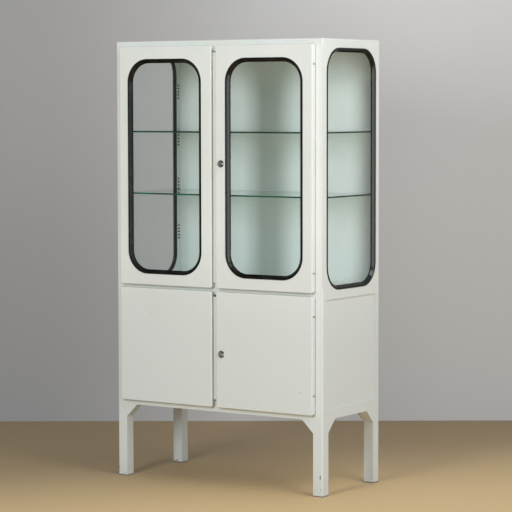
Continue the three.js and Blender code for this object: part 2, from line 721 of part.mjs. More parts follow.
// Cam hanging straight down, clear of the meeting strip; a quarter turn puts it behind the strip
function lockCam(z) {
  const half = CAM_WIDTH / 2;
  const tip = z - CAM_LENGTH + half;
  const outline = [
    ...arc([lockX, z], half, 0, Math.PI, ROUND_STEPS / 2),
    ...arc([lockX, tip], half, Math.PI, 2 * Math.PI, ROUND_STEPS / 2),
  ];
  return prism(outline, camFrontY, camFrontY + CAM_THICK, fromFront);
}

function slideBolt(door) {
  const span = boltSpan(door);
  const backY = boltFrontY + BOLT_THICK;
  const bar = box([-boltX - BOLT_WIDTH / 2, -boltX + BOLT_WIDTH / 2], [boltFrontY, backY], span);
  const middle = (span[0] + span[1]) / 2;
  const knob = prism(circle([-boltX, middle], KNOB_RADIUS), backY - WELD, backY + KNOB_LENGTH, fromFront);
  return join(bar, knob);
}

function buildDoors(group, level, door) {
  const groove = { wall: DOOR_THICK, lap: DOOR_LIP_LAP, glassFront: DOOR_GLASS_DEPTH };
  for (const { name, sign } of SIDES) {
    const label = `${level}_${name}_door`;
    addPiece(group, `${label}_shell`, doorShell(door, sign), enamel);
    addPiece(group, `${label}_liner`, doorLiner(door, sign), enamel);
    if (door.glazed) {
      const opening = doorWindow(door, sign);
      const gasket = gasketRing(opening, groove, doorFaceY, -1, fromFront);
      addPiece(group, `${label}_gasket`, gasket, rubber);
      addPiece(group, `${label}_glass`, paneIn(opening, groove, doorFaceY, -1, fromFront), pane);
    }
  }
  addPiece(group, `${level}_meeting_strip`, meetingStrip(door), enamel);
  addPiece(group, `${level}_lock_barrel`, lockBarrel(door.lock), chrome);
  addPiece(group, `${level}_lock_plug`, lockPlug(door.lock), chrome);
  addPiece(group, `${level}_lock_cam`, lockCam(door.lock), zinc);
  addPiece(group, `${level}_bolt`, slideBolt(door), zinc);
}

const carcass = new THREE.Group();
buildPosts(carcass);
buildAprons(carcass);
buildRails(carcass);
buildPanels(carcass);
buildSideWindows(carcass);
buildShelves(carcass);

const doors = new THREE.Group();
buildDoors(doors, 'upper', UPPER);
buildDoors(doors, 'lower', LOWER);

const cabinet = new THREE.Group();
cabinet.add(carcass, doors);
cabinet.position.y = (frontReach - rearReach) / 2;

export default cabinet;
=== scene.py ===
"""Glass-door medical cabinet: finishes, rubber glazing strips, locks, studio and camera around its CAD frame.

Lengths are metres in the frame's own axes: +Z up, the doors face -Y, +X to the right seen from the front.
"""

from __future__ import annotations

import json
import logging
import math
from collections.abc import Mapping, Sequence
from dataclasses import dataclass, field
from enum import Enum
from typing import Any, Union

import bmesh
import bpy
from mathutils import Matrix, Vector

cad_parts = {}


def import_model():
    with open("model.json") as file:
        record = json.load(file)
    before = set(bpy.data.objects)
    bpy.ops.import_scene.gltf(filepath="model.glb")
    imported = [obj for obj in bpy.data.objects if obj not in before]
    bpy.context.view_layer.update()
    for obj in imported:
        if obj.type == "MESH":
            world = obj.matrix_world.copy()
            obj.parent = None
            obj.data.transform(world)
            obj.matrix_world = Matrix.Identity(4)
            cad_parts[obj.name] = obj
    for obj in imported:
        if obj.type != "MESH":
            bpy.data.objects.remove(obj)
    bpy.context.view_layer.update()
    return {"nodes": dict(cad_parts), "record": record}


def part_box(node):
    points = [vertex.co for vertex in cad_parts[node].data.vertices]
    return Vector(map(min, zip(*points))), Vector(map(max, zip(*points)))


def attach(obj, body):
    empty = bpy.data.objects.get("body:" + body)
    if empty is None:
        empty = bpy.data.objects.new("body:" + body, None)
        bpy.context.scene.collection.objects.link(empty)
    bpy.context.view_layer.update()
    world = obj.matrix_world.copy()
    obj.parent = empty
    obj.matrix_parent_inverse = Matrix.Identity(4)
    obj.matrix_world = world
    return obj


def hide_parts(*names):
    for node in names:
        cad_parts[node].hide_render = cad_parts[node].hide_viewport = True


LOG = logging.getLogger("medical_cabinet")
MM = 0.001
IMAGE_SIDE = 512
SENSOR = 36.0
GLASS_MIRROR = 0.04
MIRROR_RISE = 5

Colour = tuple[float, float, float]
Point = tuple[float, float, float]
Number = Union["Value", float]
Nodes = Mapping[str, bpy.types.Object]


def linear(red: float, green: float, blue: float) -> Colour:
    """Turns a screen colour into the linear light that a shader takes.

    Args:
        red: Red from 0 to 255.
        green: Green from 0 to 255.
        blue: Blue from 0 to 255.

    Returns:
        The three linear values from 0 to 1.
    """

    def channel(level: float) -> float:
        """Undoes the screen's curve for one channel."""
        share = level / 255
        return share / 12.92 if share <= 0.04045 else ((share + 0.055) / 1.055) ** 2.4

    return channel(red), channel(green), channel(blue)


def opaque(colour: Colour) -> tuple[float, float, float, float]:
    """Adds the full alpha that a colour socket holds."""
    return (*colour, 1.0)


class Level(Enum):
    """Which half of the cabinet a piece belongs to."""

    UPPER = "upper"
    LOWER = "lower"


class Side(Enum):
    """Which side of the cabinet a piece is on, seen from the front."""

    LEFT = "left"
    RIGHT = "right"


class Facing(Enum):
    """Which way a window looks."""

    FRONT = "front"
    LEFT = "left"
    RIGHT = "right"

    def place(self, across: float, up: float, depth: float) -> Point:
        """Puts a point of a window's section into the frame.

        Args:
            across: Place along the window's width.
            up: Height.
            depth: Place along the axis that the window looks along.

        Returns:
            The point in the frame.
        """
        return (across, depth, up) if self is Facing.FRONT else (depth, across, up)

    @property
    def outward(self) -> int:
        """The sign of the outward direction along that axis."""
        return 1 if self is Facing.RIGHT else -1


class Value:
    """A shader socket with Python's operators for its maths."""

    def __init__(self, graph: Graph, socket: bpy.types.NodeSocket) -> None:
        """Keeps the tree and the socket."""
        self.graph = graph
        self.socket = socket

    def _math(self, operation: str, *terms: Number) -> Value:
        """Adds one Math node on the terms."""
        return self.graph.node("ShaderNodeMath", {"operation": operation}, dict(enumerate(terms)))

    def __add__(self, other: Number) -> Value:
        """self + other."""
        return self._math("ADD", self, other)

    def __radd__(self, other: Number) -> Value:
        """other + self."""
        return self._math("ADD", other, self)

    def __sub__(self, other: Number) -> Value:
        """self - other."""
        return self._math("SUBTRACT", self, other)

    def __rsub__(self, other: Number) -> Value:
        """other - self."""
        return self._math("SUBTRACT", other, self)

    def __mul__(self, other: Number) -> Value:
        """self * other."""
        return self._math("MULTIPLY", self, other)

    def __rmul__(self, other: Number) -> Value:
        """other * self."""
        return self._math("MULTIPLY", other, self)

    def __pow__(self, other: Number) -> Value:
        """self to the power of other."""
        return self._math("POWER", self, other)

    def __abs__(self) -> Value:
        """The size of self."""
        return self._math("ABSOLUTE", self)

    def rise(self, low: float, high: float) -> Value:
        """Goes smoothly from 0 at low to 1 at high.

        Args:
            low: Where the rise starts.
            high: Where it ends.

        Returns:
            A mask from 0 to 1.
        """
        return self.graph.node(
            "ShaderNodeMapRange",
            {"interpolation_type": "SMOOTHSTEP"},
            {"Value": self, "From Min": low, "From Max": high},
        )


class Graph:
    """The node tree of one material, or of the world."""

    def __init__(self, owner: bpy.types.Material | bpy.types.World) -> None:
        """Empties the owner's tree."""
        self.owner = owner
        owner.use_nodes = True
        self.tree = owner.node_tree
        self.tree.nodes.clear()

    @classmethod
    def named(cls, name: str) -> Graph:
        """Starts the tree of a new material."""
        return cls(bpy.data.materials.new(name))

    def node(
        self,
        kind: str,
        settings: Mapping[str, Any] | None = None,
        sockets: Mapping[int | str, Any] | None = None,
        output: int | str = 0,
    ) -> Value:
        """Adds a node.

        Args:
            kind: The node's type name.
            settings: Its own settings, set first.
            sockets: Numbers, colours or links for its inputs.
            output: The output that the result stands for.

        Returns:
            That output.
        """
        made = self.tree.nodes.new(kind)
        for name, setting in (settings or {}).items():
            setattr(made, name, setting)
        for key, given in (sockets or {}).items():
            if isinstance(given, Value):
                self.tree.links.new(given.socket, made.inputs[key])
            else:
                made.inputs[key].default_value = given
        return Value(self, made.outputs[output])

    def coordinates(self, output: str) -> Value:
        """A texture coordinate of the piece at rest, such as Object or Normal."""
        return self.node("ShaderNodeTexCoord", None, None, output)

    def part(self, vector: Value, axis: str) -> Value:
        """The X, Y or Z of a vector."""
        return self.node("ShaderNodeSeparateXYZ", None, {0: vector}, axis)

    def stretched(self, scale: Point) -> Value:
        """The place on the piece, scaled along each axis."""
        place = self.coordinates("Object")
        return self.node("ShaderNodeVectorMath", {"operation": "MULTIPLY"}, {0: place, 1: scale})

    def noise(self, scale: float, detail: float = 3.0, stretch: Point = (1.0, 1.0, 1.0)) -> Value:
        """Cloudy noise over the piece.

        Args:
            scale: Waves in a metre.
            detail: Finer octaves.
            stretch: Extra scale along each axis.

        Returns:
            A value around one half.
        """
        return self.node(
            "ShaderNodeTexNoise",
            {"noise_dimensions": "3D"},
            {"Vector": self.stretched(stretch), "Scale": scale, "Detail": detail},
        )

    def blend(self, share: Number, first: Value | Colour, second: Value | Colour) -> Value:
        """Mixes two colours.

        Args:
            share: How much of the second shows.
            first: A colour or a link.
            second: A colour or a link.

        Returns:
            The mixed colour.
        """
        ends = [end if isinstance(end, Value) else opaque(end) for end in (first, second)]
        return self.node("ShaderNodeMix", {"data_type": "RGBA"}, {0: share, 6: ends[0], 7: ends[1]}, 2)

    def mirror(self) -> Value:
        """The share of light that clear glass mirrors, the same from both of its sides."""
        rim = self.node("ShaderNodeLayerWeight", None, {"Blend": 0.5}, "Facing")
        return GLASS_MIRROR + (1 - GLASS_MIRROR) * rim**MIRROR_RISE

    def bump(self, height: Value, depth: float, strength: float) -> Value:
        """A normal tilted by a height.

        Args:
            height: The height over the surface, from 0 to 1.
            depth: How deep 1 is.
            strength: How much of it shows.

        Returns:
            The normal.
        """
        return self.node("ShaderNodeBump", None, {"Strength": strength, "Distance": depth, "Height": height})

    def finish(self, shader: Value) -> bpy.types.Material | bpy.types.World:
        """Shows the shader and hands its owner over."""
        kind = "World" if isinstance(self.owner, bpy.types.World) else "Material"
        shown = self.tree.nodes.new(f"ShaderNodeOutput{kind}")
        self.tree.links.new(shader.socket, shown.inputs["Surface"])
        return self.owner


@dataclass(frozen=True)
class Mark:
    """An egg-shaped patch in the paint with a ragged edge: a blemish such as rust, and also painted shade in
    the door gap.
    """

    centre: Point
    reach: Point
    colour: Colour
    strength: float

    def mask(self, graph: Graph, ragged: Value) -> Value:
        """Where the patch shows.

        Args:
            graph: The tree to add to.
            ragged: Noise that breaks up its edge.

        Returns:
            A mask from 0 to its strength.
        """
        place = graph.coordinates("Object")
        away = graph.node("ShaderNodeVectorMath", {"operation": "SUBTRACT"}, {0: place, 1: self.centre})
        shares = graph.node("ShaderNodeVectorMath", {"operation": "DIVIDE"}, {0: away, 1: self.reach})
        far = graph.node("ShaderNodeVectorMath", {"operation": "LENGTH"}, {0: shares}, "Value")
        return self.strength * (1 - (far + ragged).rise(0.9, 1.5))


@dataclass(frozen=True)
class TubeHollowShade:
    """The inside of the posts, which shows through their shelf slots: partly its own bare steel and partly
    painted shade, nearly black.
    """

    middle: float = 0.01525
    across: tuple[float, float] = (0.4697, 0.4793)
    along: tuple[float, float] = (0.176, 0.2085)
    up: tuple[float, float] = (0.79, 1.70)
    # nearly black: bare steel darkened further by painted shade in the hollow
    colour: Colour = linear(30, 30, 28)
    blur: float = 0.2 * MM

    def mask(self, graph: Graph) -> Value:
        """Where the dark inside is painted: 1 inside the tubes and 0 elsewhere."""
        place = graph.coordinates("Object")
        x, y, z = (graph.part(place, axis) for axis in "XYZ")
        spans = ((abs(x), self.across), (abs(y - self.middle), self.along), (z, self.up))
        inside = [
            distance.rise(low, low + self.blur) * (1 - distance.rise(high, high + self.blur))
            for distance, (low, high) in spans
        ]
        return inside[0] * inside[1] * inside[2]


@dataclass(frozen=True)
class Enamel:
    """Old white stove enamel: faintly cloudy, warm on upward faces from settled grit and a painted warm
    highlight, with painted shade that darkens and cools it lower down, scuffed and chipped near the floor.
    """

    name: str
    colour: Colour
    cloud: Colour
    # partly settled grit, partly a painted warm highlight on faces that look up
    dust_and_highlight: Colour = linear(224, 218, 196)
    grime: Colour = linear(150, 142, 126)
    bare: Colour = linear(78, 66, 54)
    # painted shade: the darker, cooler white that the lower part fades to
    painted_low_shade: Colour = linear(205, 211, 211)
    painted_low_shade_span: tuple[float, float] = (0.55, 1.0)
    # the bottom few millimetres are painted dark
    dark_bottom_span: tuple[float, float] = (0.003, 0.0055)
    roughness: float = 0.34
    chip_height: float = 0.05
    chip_low: float = 0.004
    scuff_height: float = 0.1
    cloud_scale: float = 2.6
    grain_scale: float = 210.0
    run_scale: float = 60.0
    run_stretch: Point = (1.0, 1.0, 0.04)
    chip_scale: float = 95.0
    ragged_scale: float = 260.0
    peel_scale: float = 420.0
    wave_scale: float = 7.0
    relief_depth: float = 0.15 * MM
    marks: tuple[Mark, ...] = ()
    hollow_shade: TubeHollowShade | None = None

    def material(self) -> bpy.types.Material:
        """Builds the paint's nodes."""
        graph = Graph.named(self.name)
        height = graph.part(graph.coordinates("Object"), "Z")
        upward = graph.part(graph.coordinates("Normal"), "Z")
        broad, fine = graph.noise(self.cloud_scale, 4.0), graph.noise(self.grain_scale, 4.0)
        runs = graph.noise(self.run_scale, 2.0, self.run_stretch)

        paint = graph.blend(broad.rise(0.35, 0.7), self.colour, self.cloud)
        paint = graph.blend(0.35 * runs.rise(0.55, 0.8), paint, self.cloud)
        # painted shade: darker and cooler towards the bottom
        paint = graph.blend(0.8 * (1 - height.rise(*self.painted_low_shade_span)), paint, self.painted_low_shade)
        # upward faces turn warm: settled grit and a painted warm highlight
        paint = graph.blend(0.55 * upward.rise(0.35, 0.9), paint, self.dust_and_highlight)
        low = 1 - height.rise(0.0, self.scuff_height)
        paint = graph.blend(0.2 * low * fine.rise(0.42, 0.62), paint, self.grime)
        near_floor = 1 - height.rise(self.chip_low, self.chip_height)
        chips = near_floor * graph.noise(self.chip_scale, 5.0).rise(0.63, 0.68)
        paint = graph.blend(0.7 * chips, paint, self.bare)
        # a dark band painted along the bottom few millimetres of the feet
        paint = graph.blend(0.8 * (1 - height.rise(*self.dark_bottom_span)), paint, self.bare)
        ragged = graph.noise(self.ragged_scale, 4.0)
        for mark in self.marks:
            paint = graph.blend(mark.mask(graph, ragged), paint, mark.colour)
        # painted shade inside the tubes, behind the shelf slots
        if self.hollow_shade is not None:
            paint = graph.blend(self.hollow_shade.mask(graph), paint, self.hollow_shade.colour)

        peel = graph.noise(self.peel_scale, 2.0)
        wave = graph.noise(self.wave_scale, 1.0)
        relief = 0.25 * peel + 3.0 * wave - 0.8 * chips
        shader = graph.node(
            "ShaderNodeBsdfPrincipled",
            None,
            {
                "Base Color": paint,
                "Roughness": self.roughness + 0.12 * (fine - 0.5) + 0.2 * chips + 0.1 * low,
                "Normal": graph.bump(relief, self.relief_depth, 0.5),
            },
        )
        return graph.finish(shader)


@dataclass(frozen=True)
class Rubber:
    """Black glazing rubber with a dry, slightly grey bloom."""

    name: str = "glazing_rubber"
    colour: Colour = linear(10, 11, 11)
    bloom: Colour = linear(44, 48, 49)
    roughness: float = 0.12
    specular: float = 0.32
    cloud_scale: float = 24.0
    grain_scale: float = 900.0
    dry_scale: float = 140.0
    grain_depth: float = 0.08 * MM

    def material(self) -> bpy.types.Material:
        """Builds the rubber's nodes."""
        graph = Graph.named(self.name)
        cloud, grain = graph.noise(self.cloud_scale, 5.0), graph.noise(self.grain_scale, 3.0)
        dry = graph.noise(self.dry_scale, 4.0).rise(0.5, 0.75)
        tone = graph.blend(0.35 * cloud.rise(0.45, 0.75), self.colour, self.bloom)
        tone = graph.blend(0.22 * dry, tone, self.bloom)
        shader = graph.node(
            "ShaderNodeBsdfPrincipled",
            None,
            {
                "Base Color": tone,
                "Roughness": self.roughness + 0.1 * (cloud - 0.5) + 0.06 * dry,
                "Specular IOR Level": self.specular,
                "Normal": graph.bump(grain, self.grain_depth, 0.12),
            },
        )
        return graph.finish(shader)


@dataclass(frozen=True)
class PaneGlass:
    """Thin clear window glass with a green cast and faint wiping smears."""

    name: str = "window_glass"
    tint: Colour = (0.983, 0.994, 0.989)
    gloss: Colour = (0.95, 0.98, 0.97)
    smear: float = 0.02
    smear_scale: float = 5.0
    smear_stretch: Point = (1.0, 1.0, 2.2)

    def material(self) -> bpy.types.Material:
        """Builds the pane's nodes: clear, with a mirror that grows towards the rim."""
        graph = Graph.named(self.name)
        wipes = graph.noise(self.smear_scale, 5.0, self.smear_stretch).rise(0.52, 0.78)
        clear = graph.node("ShaderNodeBsdfTransparent", None, {"Color": opaque(self.tint)})
        film = graph.node(
            "ShaderNodeBsdfPrincipled",
            None,
            {"Base Color": opaque(self.gloss), "Metallic": 1.0, "Roughness": 0.02 + 0.25 * wipes},
        )
        share = graph.mirror() + self.smear * wipes
        return graph.finish(graph.node("ShaderNodeMixShader", None, {0: share, 1: clear, 2: film}))


@dataclass(frozen=True)
class ShelfGlass:
    """Float glass that is clear through its faces and deep green along its cut edges, with painted glints
    streaked along them and painted shade on the side-facing edges and the upper shelf.
    """

    name: str = "shelf_glass"
    tint: Colour = (0.90, 0.965, 0.94)
    gloss: Colour = (0.93, 0.98, 0.96)
    edge: Colour = linear(3, 54, 43)
    # painted highlight: a brighter green streaked along the cut edges
    painted_glint: Colour = linear(8, 132, 94)
    # painted shade: near-black green for edges facing the sides and for the upper shelf
    end: Colour = linear(2, 20, 16)
    shade_span: tuple[float, float] = (1.2, 1.3)
    specular: float = 0.08
    streak_scale: float = 9.0
    streak_stretch: Point = (1.0, 1.0, 60.0)

    def material(self) -> bpy.types.Material:
        """Builds the shelf's nodes, with the cut edges told by their normals."""
        graph = Graph.named(self.name)
        normal = graph.coordinates("Normal")
        sideways, upward = (abs(graph.part(normal, axis)) for axis in "XZ")
        cut = 1 - upward.rise(0.55, 0.9)
        streaks = graph.noise(self.streak_scale, 4.0, self.streak_stretch)
        # painted glints streaked along the cut edges
        tone = graph.blend(streaks.rise(0.4, 0.7), self.edge, self.painted_glint)
        height = graph.part(graph.coordinates("Object"), "Z")
        # painted shade on the upper shelf's edges
        tone = graph.blend(0.6 * height.rise(*self.shade_span), tone, self.end)
        clear = graph.node("ShaderNodeBsdfTransparent", None, {"Color": opaque(self.tint)})
        solid = graph.node(
            "ShaderNodeBsdfPrincipled",
            None,
            {
                # painted shade on edges that face the sides
                "Base Color": graph.blend(sideways.rise(0.4, 0.8), tone, self.end),
                "Roughness": 0.06 + 0.1 * streaks,
                "Specular IOR Level": self.specular,
            },
        )
        film = graph.node(
            "ShaderNodeBsdfPrincipled",
            None,
            {"Base Color": opaque(self.gloss), "Metallic": 1.0, "Roughness": 0.03},
        )
        face = graph.node("ShaderNodeMixShader", None, {0: graph.mirror(), 1: clear, 2: film})
        return graph.finish(graph.node("ShaderNodeMixShader", None, {0: cut, 1: face, 2: solid}))


@dataclass(frozen=True)
class Plating:
    """Plated metal with fine scratches and dull patches, and a painted reflection where it faces up or down.
    """

    name: str
    colour: Colour
    dull: Colour
    roughness: float
    # painted reflection: the tone of faces that look up or down, near black on chrome
    painted_reflection: Colour
    scratch: Point = (40.0, 40.0, 1.0)
    patch_scale: float = 160.0
    line_scale: float = 55.0
    line_depth: float = 0.02 * MM
    painted_reflection_span: tuple[float, float] = (0.12, 0.42)

    def material(self) -> bpy.types.Material:
        """Builds the plating's nodes."""
        graph = Graph.named(self.name)
        patches = graph.noise(self.patch_scale, 5.0).rise(0.5, 0.75)
        lines = graph.noise(self.line_scale, 3.0, self.scratch)
        upright = abs(graph.part(graph.coordinates("Normal"), "Z"))
        plate = graph.blend(0.7 * patches, self.colour, self.dull)
        shader = graph.node(
            "ShaderNodeBsdfPrincipled",
            None,
            {
                # painted reflection on faces that look up or down
                "Base Color": graph.blend(upright.rise(*self.painted_reflection_span), plate, self.painted_reflection),
                "Metallic": 1.0,
                "Roughness": self.roughness + 0.18 * patches + 0.1 * lines,
                "Normal": graph.bump(lines, self.line_depth, 0.5),
            },
        )
        return graph.finish(shader)


@dataclass(frozen=True)
class PlainSheet:
    """Matt paint for the studio's floor and wall, with painted light and shade that change softly along a
    direction.

    From behind, a sheet can be seen through, so that it hides the cabinet from no side.
    """

    name: str
    colour: Colour
    shade: Colour
    light_sweep: Point
    span: tuple[float, float]
    roughness: float = 0.7

    def material(self) -> bpy.types.Material:
        """Builds the sheet's nodes."""
        graph = Graph.named(self.name)
        ends = {0: graph.coordinates("Object"), 1: self.light_sweep}
        along = graph.node("ShaderNodeVectorMath", {"operation": "DOT_PRODUCT"}, ends, "Value")
        # painted light and shade: the paint goes from colour to shade along the sweep
        tone = graph.blend((along + 0.3 * graph.noise(0.8, 3.0)).rise(*self.span), self.colour, self.shade)
        matt = {"Base Color": tone, "Roughness": self.roughness}
        paint = graph.node("ShaderNodeBsdfPrincipled", None, matt)
        behind = graph.node("ShaderNodeNewGeometry", None, None, "Backfacing")
        clear = graph.node("ShaderNodeBsdfTransparent")
        return graph.finish(graph.node("ShaderNodeMixShader", None, {0: behind, 1: paint, 2: clear}))


@dataclass(frozen=True)
class EdgeBreak:
    """The small rounding that sheet, glass and metal have on their sharp edges.

    A pierced piece keeps its own triangles, so that its holes stay open.
    """

    width: float
    segments: int = 2
    sharper_than: float = math.radians(40)
    weld_gap: float = 0.005 * MM
    flat_within: float = math.radians(0.5)
    pierced: bool = False

    def apply(self, piece: bpy.types.Object) -> None:
        """Rounds a CAD solid by modifiers, which leave its own mesh as it is.

        Args:
            piece: The solid's object.
        """
        mesh = piece.data
        mesh.polygons.foreach_set("use_smooth", [True] * len(mesh.polygons))
        if "custom_normal" in mesh.attributes:
            mesh.attributes.remove(mesh.attributes["custom_normal"])
        weld = piece.modifiers.new("joined_corners", "WELD")
        weld.merge_threshold = self.weld_gap
        if not self.pierced:
            planar = piece.modifiers.new("whole_faces", "DECIMATE")
            planar.decimate_type = "DISSOLVE"
            planar.angle_limit = self.flat_within
        bevel = piece.modifiers.new("broken_edges", "BEVEL")
        bevel.width = self.width
        bevel.segments = self.segments
        bevel.limit_method = "ANGLE"
        bevel.angle_limit = self.sharper_than
        piece.modifiers.new("flat_faces", "WEIGHTED_NORMAL")


def dress(piece: bpy.types.Object, material: bpy.types.Material, edge: EdgeBreak | None = None) -> None:
    """Gives a piece its one material and its broken edges.

    Args:
        piece: The object.
        material: Its finish.
        edge: The rounding of its sharp edges, for a CAD solid.
    """
    piece.data.materials.clear()
    piece.data.materials.append(material)
    if edge is not None:
        edge.apply(piece)
    LOG.info("dressed %s in %s", piece.name, material.name)


def closed_ring(name: str, rings: Sequence[Sequence[Point]], sharper_than: float) -> bpy.types.Object:
    """Joins closed loops of points into a ring-shaped skin.

    Args:
        name: The object's name.
        rings: Loops with equal point counts; the last joins the first.
        sharper_than: Edges that turn more than this stay sharp.

    Returns:
        The object, linked to the scene.
    """
    mesh = bpy.data.meshes.new(name)
    skin = bmesh.new()
    loops = [[skin.verts.new(point) for point in ring] for ring in rings]
    for low, high in zip(loops, loops[1:] + loops[:1]):
        for k, corner in enumerate(low):
            after = (k + 1) % len(low)
            skin.faces.new((corner, low[after], high[after], high[k]))
    bmesh.ops.recalc_face_normals(skin, faces=skin.faces)
    skin.to_mesh(mesh)
    skin.free()
    mesh.polygons.foreach_set("use_smooth", [True] * len(mesh.polygons))
    mesh.set_sharp_from_angle(angle=sharper_than)
    made = bpy.data.objects.new(name, mesh)
    bpy.context.scene.collection.objects.link(made)
    return made


@dataclass(frozen=True)
class GlazingStrip:
    """The rubber section that clips over a window's sheet edge and holds its pane."""

    lap: float
    glass_depth: float
    width: float = 16.5 * MM
    lip: float = 8.0 * MM
    crest: float = 2.5 * MM
    glass: float = 4.0 * MM
    bite: float = 5.5 * MM
    radius: float = 92.0 * MM
    seam: float = 0.9 * MM
    heel: float = 1.0 * MM
    least_radius: float = 0.5 * MM
    corner_steps: int = 14
    dome_steps: int = 8
    dome_turn: float = 0.86 * math.pi
    fullness: float = 0.6
    sharper_than: float = math.radians(38)

    def half_section(self, glass_front: float) -> list[tuple[float, float]]:
        """The outer half of the section: a full lip, a seam, then a slope down to the pane.

        Args:
            glass_front: Depth of the pane's outer face.

        Returns:
            Points of inset from the window's outline and depth from the sheet's outer face.
        """
        dome = [self.dome_turn * k / self.dome_steps for k in range(self.dome_steps + 1)]
        points = [
            (self.lip / 2 * (1 - math.cos(turn)), -self.crest * max(math.sin(turn), 0.0) ** self.fullness)
            for turn in dome
        ]
        return points + [
            (self.lip + self.seam / 2, 0.0),
            (self.lip + self.seam, self.seam / 2),
            (self.lip + 2 * self.seam, self.seam / 2),
            (self.width - self.heel, glass_front - 1.5 * self.heel),
            (self.width, glass_front - self.heel / 2),
            (self.width, glass_front),
            (self.width - self.bite, glass_front),
        ]

    def section(self, wall: float) -> list[tuple[float, float]]:
        """The whole closed section for a sheet or door of that thickness."""
        behind = self.half_section(wall - self.glass_depth - self.glass)
        inner = [(inset, wall - depth) for inset, depth in reversed(behind)]
        return self.half_section(self.glass_depth) + inner + [(self.lap, wall), (self.lap, 0.0)]

    def outline(self, low: Sequence[float], high: Sequence[float], inset: float) -> list[tuple[float, float]]:
        """A rounded window outline drawn inwards.

        Args:
            low: Lowest corner across and up.
            high: Highest corner across and up.
            inset: How far inwards.

        Returns:
            Points round the outline.
        """
        bend = max(self.radius - inset, self.least_radius)
        a0, b0 = (end + inset + bend for end in low)
        a1, b1 = (end - inset - bend for end in high)
        points = []
        for turn, (a, b) in enumerate([(a1, b1), (a0, b1), (a0, b0), (a1, b0)]):
            for k in range(self.corner_steps + 1):
                angle = (turn + k / self.corner_steps) * math.pi / 2
                points.append((a + bend * math.cos(angle), b + bend * math.sin(angle)))
        return points

    def build(self, node: str, facing: Facing, body: str, rubber: bpy.types.Material) -> None:
        """Makes the strip in the place of its CAD solid.

        Args:
            node: The CAD node that it stands for.
            facing: Which way the window looks.
            body: The body that it moves with.
            rubber: Its finish.
        """
        low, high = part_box(node)
        across, along = (0, 1) if facing is Facing.FRONT else (1, 0)
        outward = facing.outward
        face = (high if outward > 0 else low)[along] - outward * self.crest
        wall = high[along] - low[along] - 2 * self.crest
        corners = [(end[across], end.z) for end in (low, high)]
        rings = [
            [facing.place(a, b, face - outward * depth) for a, b in self.outline(*corners, inset)]
            for inset, depth in self.section(wall)
        ]
        strip = closed_ring(f"{node}_strip", rings, self.sharper_than)
        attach(strip, body)
        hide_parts(node)
        dress(strip, rubber)


@dataclass
class Carcass:
    """Posts, feet, aprons, rails and sheet panels of the cabinet."""

    nodes: Nodes
    outside: bpy.types.Material
    inside: bpy.types.Material
    frame_edge: EdgeBreak = EdgeBreak(0.7 * MM)
    pierced_edge: EdgeBreak = EdgeBreak(0.7 * MM, pierced=True)
    sheet_edge: EdgeBreak = EdgeBreak(0.4 * MM)
    foot_edge: EdgeBreak = EdgeBreak(1.0 * MM)
    sheets: tuple[str, ...] = ("bottom_panel", "top_cap", "back_panel", "lower_side_panel", "mid_deck")
    holed: tuple[str, ...] = ("_post", "mid_rail", "top_rail")
    brightened_panels: tuple[str, ...] = ("back_panel", "mid_deck")

    def dress(self, members: Sequence[str]) -> None:
        """Paints the carcass, with a brighter, cooler copy of its paint on the panels behind the glass, as
        painted light.

        Args:
            members: Its CAD nodes.
        """
        for name in members:
            if name.endswith("_foot"):
                edge = self.foot_edge
            elif name.endswith(self.sheets):
                edge = self.sheet_edge
            elif name.endswith(self.holed):
                edge = self.pierced_edge
            else:
                edge = self.frame_edge
            # painted light: panels behind the glass get the brighter copy of the paint
            paint = self.inside if name in self.brightened_panels else self.outside
            dress(self.nodes[name], paint, edge)


@dataclass
class SideWindow:
    """One glazed side: a rubber strip in the post and rail frame, and its pane."""

    nodes: Nodes
    facing: Facing
    strip: GlazingStrip = GlazingStrip(lap=8.3 * MM, glass_depth=8.0 * MM)

    def build(self, rubber: bpy.types.Material, pane: bpy.types.Material) -> None:
        """Makes the strip and dresses the pane.

        Args:
            rubber: Finish of the strip.
            pane: Finish of the glass.
        """
        side = self.facing.value
        self.strip.build(f"{side}_side_gasket", self.facing, "cabinet", rubber)
        dress(self.nodes[f"{side}_side_glass"], pane)


@dataclass
class ShelfSet:
    """The two glass shelves and the bent clips that carry them."""

    nodes: Nodes
    glass_edge: EdgeBreak = EdgeBreak(0.5 * MM)
    clip_edge: EdgeBreak = EdgeBreak(0.4 * MM)
    clip_ends: tuple[str, ...] = ("front", "rear")

    def dress(self, glass: bpy.types.Material, zinc: bpy.types.Material) -> None:
        """Dresses shelves and clips.

        Args:
            glass: Finish of the shelves.
            zinc: Finish of the clips.
        """
        for level in Level:
            shelf = f"{level.value}_shelf"
            dress(self.nodes[shelf], glass, self.glass_edge)
            for end in self.clip_ends:
                for side in Side:
                    dress(self.nodes[f"{shelf}_clip_{end}_{side.value}"], zinc, self.clip_edge)


@dataclass
class Door:
    """One door leaf: a folded shell, a liner and, in the upper pair, a window."""

    nodes: Nodes
    level: Level
    side: Side
    edge: EdgeBreak = EdgeBreak(0.4 * MM)
    strip: GlazingStrip = GlazingStrip(lap=5.0 * MM, glass_depth=9.0 * MM)

    @property
    def body(self) -> str:
        """The body that the leaf is."""
        return f"{self.level.value}_{self.side.value}_door"

    def dress(self, enamel: bpy.types.Material) -> None:
        """Paints the shell, the liner and the left leaf's meeting strip."""
        names = [f"{self.body}_shell", f"{self.body}_liner"]
        if self.side is Side.LEFT:
            names.append(f"{self.level.value}_meeting_strip")
        for name in names:
            dress(self.nodes[name], enamel, self.edge)

    def glaze(self, rubber: bpy.types.Material, pane: bpy.types.Material) -> None:
        """Makes the window's strip and dresses its pane.

        Args:
            rubber: Finish of the strip.
            pane: Finish of the glass.
        """
        self.strip.build(f"{self.body}_gasket", Facing.FRONT, self.body, rubber)
        dress(self.nodes[f"{self.body}_glass"], pane)


